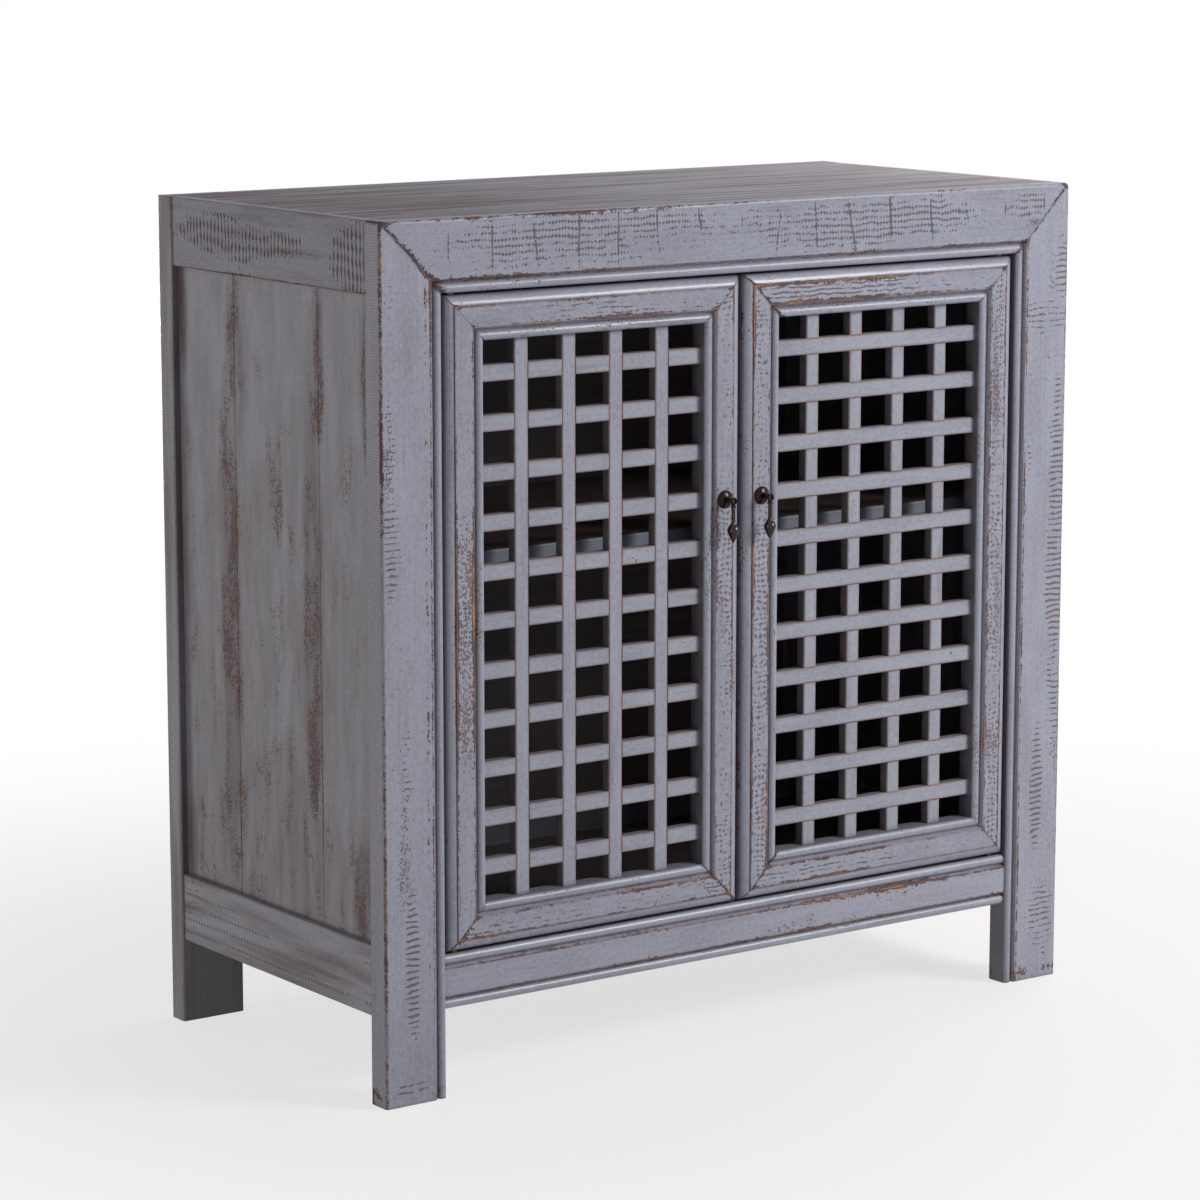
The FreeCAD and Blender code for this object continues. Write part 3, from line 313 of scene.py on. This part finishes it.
dress(worn_paint("sawn_paint_right_leg", "Z", 2, ridges=LEG_RIDGES, ribs=RIB_PITCH,
                 inner=((LEFTWARD, -SIGHT_EDGE),),
                 saw_spots=(((391, FRONT, 712), (14, DEEP, 46), 1.2),
                            ((373, FRONT, 665), (40, DEEP, 30), 1.2),
                            ((354, FRONT, 570), (11, DEEP, 80), 1.0),
                            ((390, FRONT, 440), (18, DEEP, 240), 1.6),
                            ((370, FRONT, 190), (12, DEEP, 85), 2.0),
                            ((380, FRONT, 60), (26, DEEP, 60), 1.3)),
                 rub_spans=(RIGHT_ARRIS, (ACROSS, LEG_FLAT + 2, 2.2, 1.2), FOOT),
                 joint_spans=(mitre(LEG_OUTER, TOP, -1, 4, 1.0),), speck=0.44), "front_right_leg")
dress(worn_paint("sawn_paint_top_rail", "X", 3, dash=(9, 14), saw=-0.75, ridges=RAIL_RIDGES,
                 saw_spots=(((-160, FRONT, 770), (220, DEEP, 34), 1.0),
                            ((130, FRONT, 768), (230, DEEP, 34), 1.0),
                            ((345, FRONT, 774), (40, DEEP, 24), 1.1)),
                 rub_spans=(TOP_ARRIS, (UP, TOP - FRAME_FLAT, 3, 1.0)),
                 joint_spans=(mitre(-LEG_OUTER, TOP, 1, 9, 1.25), mitre(LEG_OUTER, TOP, -1, 7, 1.1)),
                 smear_spots=(((354, FRONT, 754), (17, DEEP, 12), 1.1),), shine=0.25), "front_top_rail")
RAIL_FLATS = (93.0, 119.0)    # heights of the arrises between the beads of the bottom rail
dress(worn_paint("sawn_paint_bottom_rail", "X", 4, inner=((INWARD, EVERYWHERE),), speck=0.42,
                 rub_spans=[(UP, height, 4, 1.0) for height in RAIL_FLATS]), "front_bottom_rail")


# Mitre keys: loose strips of bare pine, glued across the mitres inside the frame and the doors.
# They are planed and left unpainted, and no side of them shows on the whole cabinet.
GROWTH_LINE = (90, 2.5)       # mm along and across one growth line
FIGURE = (420, 24)            # mm along and across one broad band


def grained_wood(name, grain, pale, dark):
    """Planed pine, bare or stained. The eye sees fine growth lines and broad, wavy bands of them."""
    finish, tree, shader, place = new_finish(name)
    placed = add(tree, "Mapping", {"Vector": place, "Scale": stretched(grain, *GROWTH_LINE)})
    lines = add(tree, "TexNoise", {"Vector": placed, "Scale": 1.0, "Detail": 3.0})
    placed = add(tree, "Mapping", {"Vector": place, "Scale": stretched(grain, *FIGURE)})
    figure = add(tree, "TexNoise", {"Vector": placed, "Scale": 1.0, "Detail": 4.0, "Distortion": 0.6})
    # The shade is 0.5 where both patterns are at their middle.
    shade = weighted(tree, -0.8, (lines, 0.8), (figure, 1.8))
    colour = add(tree, "Mix", {"Factor": shade, "A": linear(dark), "B": linear(pale)}, data_type="RGBA")
    bump = add(tree, "Bump", {"Strength": 0.3, "Distance": 0.2 * MM, "Height": lines})
    feed(tree, shader, {"Base Color": colour, "Roughness": 0.5, "Normal": bump})
    return finish


dress(grained_wood("planed_pine", "X", "#cfa878", "#a87f55"),
      "frame_mitre_keys", "left_door_mitre_keys", "right_door_mitre_keys")


# Back frame: two legs and two rails, mortised and tenoned, under the same paint as the front.
# The outer sides of the legs carry fine saw marks, and their edges are rubbed brown.
# More smear than on the front makes the back legs browner and darker.
dress(worn_paint("sawn_paint_left_back_leg", "Z", 5, smear=0.1, ribs=RIB_PITCH,
                 inner=((ACROSS, EVERYWHERE), (FORWARD, EVERYWHERE))), "back_left_leg")
dress(worn_paint("sawn_paint_right_back_leg", "Z", 6, smear=0.1, ribs=RIB_PITCH,
                 inner=((LEFTWARD, EVERYWHERE), (FORWARD, EVERYWHERE))), "back_right_leg")
dress(worn_paint("sawn_paint_back_rails", "X", 6, shine=0.25,
                 inner=((FORWARD, EVERYWHERE), (DOWN, EVERYWHERE))), "back_top_rail", "back_bottom_rail")


# Sides: rails tenoned into the legs and three upright boards in their grooves. The boards are rubbed
# beside their joints, where long brown smudges run with the grain, and the rails keep rows of saw marks.
FRONT_JOINT = -67.9           # mm from the middle of the cabinet to the joint of the two boards in front
BACK_JOINT = 77.1             # and to that of the two behind
BAND_SHIFT = 13.0             # mm from a joint back to the middle of the brown band beside it
RAIL_FOOT = 730.0             # height of the underside of the top rails
LEG_BACK = -157.9             # mm from the middle of the cabinet to where the rails meet the front legs
RAIL_END = (INWARD, LEG_BACK, 1.6, 1.0)
COMB_RIDGES = ((6.2, "Y", 2, 0.19, 3.0), (14, "Z", 1, 0.12, 6.0))
ROW_RIDGES = ((5.2, "Y", 2, 0.12, 1.5), (12, "Z", 6, 0.12, 1.0))
# Broad spots low on the boards, and more smear on the bottom rails, make the sides browner and darker
# towards the bottom.
for side, seed, inside, hand in (("left", 7, ACROSS, -1), ("right", 8, LEFTWARD, 1)):
    outer = hand * LEG_OUTER
    outside = (hand, 0, 0)
    combs = (((outer, -134, 762), (DEEP, 44, 48), 1.6),
             ((outer, 62, 764), (DEEP, 140, 24), 1.4))
    rows = (((outer, 20, 106), (DEEP, 230, 40), 1.2),)
    smudges = (((outer, FRONT_JOINT + BAND_SHIFT, 420), (DEEP, 26, 310), 1.1),
               ((outer, BACK_JOINT + BAND_SHIFT, 370), (DEEP, 29, 340), 1.1),
               ((outer, FRONT_JOINT, 650), (DEEP, 14, 130), 0.75),
               ((outer, BACK_JOINT - 4, 650), (DEEP, 24, 130), 0.75),
               ((outer, -150, 655), (DEEP, 18, 110), 1.0),
               ((outer, -138, 190), (DEEP, 28, 90), 1.0),
               ((outer, 170, 690), (DEEP, 14, 70), 0.9),
               ((outer, 166, 185), (DEEP, 16, 60), 0.9),
               ((outer, 8, 540), (DEEP, 26, 130), 0.5),
               ((outer, 0, 180), (DEEP, 260, 200), 0.62),
               ((outer, 5, 330), (DEEP, 340, 420), 0.36))
    top_rail = worn_paint("sawn_paint_top_rail_" + side, "Y", seed, outside, dash=(34, 7), saw=-0.7,
                          ridges=COMB_RIDGES, saw_spots=combs,
                          rub_spans=(RAIL_END, (UP, RAIL_FOOT, 2.6, 1.5)), smear=-0.4,
                          inner=((inside, EVERYWHERE),), shine=0.25)
    bottom_rail = worn_paint("sawn_paint_bottom_rail_" + side, "Y", seed + 2, outside, dash=(34, 7),
                             saw=-0.7, ridges=ROW_RIDGES, saw_spots=rows, rub_spans=(RAIL_END,),
                             smear=0.12, inner=((inside, EVERYWHERE),))
    boards = worn_paint("sawn_paint_boards_" + side, "Z", seed + 4, smear=-0.12, smear_size=(64, 15),
                        streaky=1.0, smear_spots=smudges, inner=((inside, EVERYWHERE),))
    dress(top_rail, side + "_side_top_rail")
    dress(bottom_rail, side + "_side_bottom_rail")
    dress(boards, side + "_side_boards")


# Inside: back panel, floor, shelf cleats and catch block, brushed with dark brown stain.
# The panels lie in grooves, and the cleats and the block are screwed on.
dress(grained_wood("dark_stained_pine", "X", "#5e5455", "#423a3c"),
      "back_panel", "bottom_panel", "left_shelf_cleat", "right_shelf_cleat", "catch_block")


# Shelf: a loose board on the cleats, stained like the rest of the inside, with its front edge painted.
# Only that edge shows through the lattice.
# The edge paint is darker than the blue-grey outside: painted shade for the dim inside.
EDGE_PALE = "#787c89"
EDGE_DARK = "#646874"
finish = grained_wood("stained_shelf_painted_edge", "X", "#66574e", "#463a37")
tree = finish.node_tree
shader = tree.nodes["Principled BSDF"]
stain = shader.inputs["Base Color"].links[0].from_socket
place = add(tree, "TexCoord").outputs["Object"]
placed = add(tree, "Mapping", {"Vector": place, "Scale": stretched("X", *GROWTH_LINE)})
lines = add(tree, "TexNoise", {"Vector": placed, "Scale": 1.0, "Detail": 3.0})
coat = add(tree, "Mix", {"Factor": lines, "A": linear(EDGE_DARK), "B": linear(EDGE_PALE)}, data_type="RGBA")
turned = add(tree, "SeparateXYZ", {0: add(tree, "NewGeometry").outputs["True Normal"]}).outputs["Y"]
front_edge = add(tree, "Math", {0: turned, 1: -0.5}, operation="LESS_THAN")
colour = add(tree, "Mix", {"Factor": front_edge, "A": stain, "B": coat}, data_type="RGBA")
feed(tree, shader, {"Base Color": colour})
dress(finish, "shelf")


# Top: three boards laid in the rebate of the frame, with a dry, rubbed coat of the paint
# that shows long brown streaks along the width, more of them towards the left, where they also paint the
# shade on that end.
dress(worn_paint("sawn_paint_top", "X", 16, smear=0.04, smear_size=(260, 11), smear_colour="#635450",
                 smear_spots=(((-330, 40, TOP), (300, 300, DEEP), 0.42),), shine=0.12), "top_boards")


# Doors: mitred frames with an ovolo outside and a bead inside, and lattices of cross-halved bars
# housed in them. Arrises and mitres are rubbed to brown and tan wood, and the flats carry fine specks.
DOOR_ENDS = (133.2, 726.8)    # heights of the lower and upper edges of the doors
DOOR_EDGES = (1.5, 331.5)     # mm from the middle of the cabinet to the meeting and hinge edges
OVOLO = 10.0                  # mm of moulding outside the flats
DOOR_FLAT = 30.0              # mm from the outer edge of a door to the inner arris of its flats
DOOR_INNER = 36.0             # mm from the outer edge of a door, between the quirk and the inner face
FLAT_MIDDLE = (OVOLO + DOOR_FLAT) / 2
RUBS = (OVOLO + 1.0, DOOR_FLAT - 1.5)   # rubbed lines on the flats, beside their arrises
LONG = 900.0                  # mm, half size of a spot along the piece that it lies on
STRIP = 13.0                  # mm, half width of the worn strip along a flat
DOT_RIDGES = ((5.4, "Z", 2, 0.15, 8.0), (6, "X", 1, 0.13, 8.0))
LINE_RIDGES = ((4.5, "Z", 2, 0.3, 4.0),)
HINGE_WEAR = {"left": 0.55, "right": 0.9}
HINGE_SMEAR = {"left": 0.1, "right": 0.35}
for side, seed, hand in (("left", 17, -1), ("right", 20, 1)):
    meeting, hinge = [hand * edge for edge in DOOR_EDGES]
    foot, head = DOOR_ENDS
    hinge_middle = (hinge - hand * FLAT_MIDDLE, FRONT, (foot + head) / 2)
    meeting_middle = (meeting + hand * FLAT_MIDDLE, FRONT, (foot + head) / 2)
    mitres = [(hinge, head, -hand), (meeting, head, hand), (hinge, foot, hand), (meeting, foot, -hand)]
    stile_rubs = [(ACROSS, hinge - hand * inset, 2.8, 1.1) for inset in RUBS]
    stile_rubs += [(ACROSS, meeting + hand * inset, 2.8, 1.1) for inset in RUBS]
    stile_rubs.append((ACROSS, meeting, 3, 0.75))
    rail_rubs = [(UP, head - inset, 3.2, 1.1) for inset in RUBS]
    rail_rubs += [(UP, foot + inset, 3.2, 0.95) for inset in RUBS]
    stile_flats = [(hinge_middle, (STRIP, DEEP, LONG), HINGE_WEAR[side]),
                   (meeting_middle, (STRIP, DEEP, LONG), 1.0)]
    hinge_flat = [(hinge_middle, (STRIP, DEEP, LONG), HINGE_SMEAR[side])]
    rail_flats = [((0, FRONT, head - FLAT_MIDDLE), (LONG, DEEP, STRIP), 0.95),
                  ((0, FRONT, foot + FLAT_MIDDLE - 3), (LONG, DEEP, STRIP - 2), 0.85)]
    # The inner faces of the door frames and the sides of the lattice bars darken to the wax colour: painted
    # shade between the bars.
    stile_inner = (((-hand, 0, 0), DOOR_INNER - DOOR_EDGES[1]),
                   ((hand, 0, 0), DOOR_INNER + DOOR_EDGES[0]))
    rail_inner = ((DOWN, DOOR_INNER - head), (UP, DOOR_INNER + foot))
    stiles = worn_paint("door_paint_stiles_" + side, "Z", seed, dash=(5, 3.5), saw=-0.75,
                        saw_spots=stile_flats, ridges=DOT_RIDGES, speck=0.34, rub_spans=stile_rubs,
                        smear_spots=hinge_flat, inner=stile_inner)
    rails = worn_paint("door_paint_rails_" + side, "X", seed, dash=(12, 8), saw=-0.9, saw_spots=rail_flats,
                       ridges=LINE_RIDGES, speck=0.36, rub_spans=rail_rubs, inner=rail_inner,
                       joint_spans=[mitre(*corner, 6, 1.1) for corner in mitres], shine=0.35)
    uprights = worn_paint("lattice_paint_uprights_" + side, "Z", seed + 1, edge=1.6,
                          inner=((ACROSS, EVERYWHERE), (LEFTWARD, EVERYWHERE)))
    crossbars = worn_paint("lattice_paint_crossbars_" + side, "X", seed + 1, edge=1.6,
                           inner=((UP, EVERYWHERE), (DOWN, EVERYWHERE)))
    dress(stiles, side + "_door_hinge_stile", side + "_door_meeting_stile")
    dress(rails, side + "_door_top_rail", side + "_door_bottom_rail")
    dress(uprights, side + "_door_uprights")
    dress(crossbars, side + "_door_crossbars")


# Fittings: browned brass bushes, steel pins, strikes and screws, and the black housing of the magnetic
# catch. They are turned, stamped or moulded, and lie inside or behind the doors.
SHEEN_SPREAD = 0.08           # how far roughness departs from its middle with the blotches
CAST_RELIEF = 0.4             # mm of relief in the skin of a casting
LACQUER_ROUGH = 0.1


def blotched(name, pale, dark, rough, metallic=1.0, blotch=1.2, relief=0.0, lacquer=0.0):
    """Metal or moulded plastic. The eye sees slight blotches of tarnish and a sheen that follows them.
    A blotch is its size in mm."""
    finish, tree, shader, place = new_finish(name)
    blotches = add(tree, "TexNoise", {"Vector": place, "Scale": 1 / (blotch * MM), "Detail": 3.0})
    colour = add(tree, "Mix", {"Factor": blotches, "A": linear(dark), "B": linear(pale)}, data_type="RGBA")
    sheen = add(tree, "MapRange", {"Value": blotches, "To Min": rough + SHEEN_SPREAD,
                                   "To Max": rough - SHEEN_SPREAD})
    bump = add(tree, "Bump", {"Strength": relief, "Distance": CAST_RELIEF * MM, "Height": blotches})
    feed(tree, shader, {"Base Color": colour, "Roughness": sheen, "Normal": bump, "Metallic": metallic,
                        "Coat Weight": lacquer, "Coat Roughness": LACQUER_ROUGH})
    return finish


dress(blotched("browned_brass", "#6a5433", "#44351f", 0.42), "pivot_bushes")
dress(blotched("zinc_steel", "#b5b8bb", "#8e9194", 0.38),
      "cleat_screws", "catch_block_screws", "catch_screws", "left_strike_plate", "right_strike_plate",
      "left_strike_screws", "right_strike_screws", "left_door_pivot_pins", "right_door_pivot_pins")
dress(blotched("moulded_black_nylon", "#2a2a2c", "#1d1d1f", 0.5, metallic=0.0), "magnetic_catch")


# Drop pulls: a domed rosette, a slotted post and a turned pendant on a pin, cast in bronze and browned.
# The rosette keeps the skin of the casting, and the post and the pendant are polished by hands.
cast_bronze = blotched("cast_bronze", "#2c1f1b", "#0e0807", 0.26, blotch=3.5, relief=1.0, lacquer=0.2)
polished_bronze = blotched("polished_bronze", "#382822", "#120a08", 0.16, blotch=2.5, lacquer=0.5)
for side in ("left", "right"):
    dress(cast_bronze, side + "_pull_rosette", side + "_pull_nut")
    dress(polished_bronze, side + "_pull_post", side + "_pull_pin", side + "_pull_pendant")


# Floor: a plain pale sheet that runs out to white behind the cabinet and takes its shadow.
# The camera and reflections see it nearly white, and its diffuse light on the cabinet stays its own.
WHITE = "#ffffff"
FLOOR_SIZE = 24.0             # metres
FLOOR_DROP = 0.0005           # metres below the feet
SHADOW_SHARE = 0.3            # how much of the shaded floor the camera sees beside the feet
FADE_START, FADE_END = 0.35, 1.5   # metres from the middle between which the floor runs out to white


def seen_rays(tree):
    """1 for rays from the camera, in reflections and through glass, and 0 for those that light a piece."""
    rays = add(tree, "LightPath")
    seen = rays.outputs["Is Camera Ray"]
    for kind in ("Is Glossy Ray", "Is Transmission Ray"):
        seen = add(tree, "Math", {0: seen, 1: rays.outputs[kind]}, operation="MAXIMUM")
    return seen


bpy.ops.object.select_all(action="DESELECT")
bpy.ops.mesh.primitive_plane_add(size=FLOOR_SIZE, location=(0, 0, -FLOOR_DROP))
floor = bpy.context.object
floor.name = "studio_floor"
bpy.ops.object.transform_apply(location=True, rotation=True, scale=True)
finish, tree, shader, place = new_finish("pale_studio_floor")
feed(tree, shader, {"Base Color": linear("#dcdcde"), "Roughness": 0.9, "Specular IOR Level": 0.0})
far = add(tree, "VectorMath", {0: place}, operation="LENGTH").outputs["Value"]
fade = add(tree, "MapRange", {"Value": far, "From Min": FADE_START, "From Max": FADE_END,
                              "To Min": 1 - SHADOW_SHARE}, interpolation_type="SMOOTHSTEP")
seen = add(tree, "Math", {0: seen_rays(tree), 1: fade}, operation="MULTIPLY")
white = add(tree, "Emission", {"Color": linear(WHITE), "Strength": 1.0})
mixed = add(tree, "MixShader", {0: seen, 1: shader, 2: white})
feed(tree, tree.nodes["Material Output"], {"Surface": mixed})
floor.data.materials.append(finish)


# Studio light: a dim even room for diffuse light, white where the camera or a reflection sees it,
# a soft lamp near the front on the right, weak ones low on the left and behind, and one for the top.
ROOM_LIGHT = 0.18
LAMP_AIM = (0, 0, 0.4)        # metres, the middle of the cabinet
LAMPS = {
    # name: (place in metres, side in metres, watts, colour)
    "key_softbox": ((1.75, -2.3, 1.9), 1.0, 74.0, WHITE),
    "left_softbox": ((-3.6, -0.5, 0.9), 1.6, 17.0, "#ffeedc"),
    "top_softbox": ((1.05, 0.25, 1.3), 0.5, 8.2, "#ffeedc"),
    "back_softbox": ((0.9, 3.4, 0.42), 0.7, 44.0, "#fff4ea"),
}
world = bpy.data.worlds.new("studio_room")
bpy.context.scene.world = world
world.use_nodes = True
tree = world.node_tree
room = tree.nodes["Background"]
feed(tree, room, {"Color": linear(WHITE), "Strength": ROOM_LIGHT})
backdrop = add(tree, "Background", {"Color": linear(WHITE), "Strength": 1.0})
mixed = add(tree, "MixShader", {0: seen_rays(tree), 1: room, 2: backdrop})
feed(tree, tree.nodes["World Output"], {"Surface": mixed})
for name, (spot, side, watts, colour) in LAMPS.items():
    lamp = bpy.data.lights.new(name, "AREA")
    lamp.size = side
    lamp.energy = watts
    lamp.color = linear(colour)[:3]
    holder = bpy.data.objects.new(name, lamp)
    bpy.context.scene.collection.objects.link(holder)
    holder.location = spot
    holder.visible_camera = False
    aim = Vector(LAMP_AIM) - holder.location
    holder.rotation_euler = aim.to_track_quat("-Z", "Y").to_euler()


# Camera: a long lens to the left of the front, a little above the top and tilted down, without shift,
# because a shift that makes the uprights parallel would stay on in every other view.
CAMERA_PLACE = (-2.3248, -3.1726, 1.0872)   # metres
CAMERA_YAW = 35.84            # degrees to the right of the cabinet's depth
CAMERA_PITCH = -9.95          # degrees from level
FOCAL_LENGTH = 123.47         # mm
SENSOR_WIDTH = 36.0           # mm
lens = bpy.data.cameras.new("photo_lens")
lens.lens = FOCAL_LENGTH
lens.sensor_width = SENSOR_WIDTH
camera = bpy.data.objects.new("photo_camera", lens)
bpy.context.scene.collection.objects.link(camera)
camera.location = CAMERA_PLACE
camera.rotation_euler = (math.radians(90 + CAMERA_PITCH), 0, math.radians(-CAMERA_YAW))
bpy.context.scene.camera = camera
bpy.context.scene.view_settings.view_transform = "Standard"
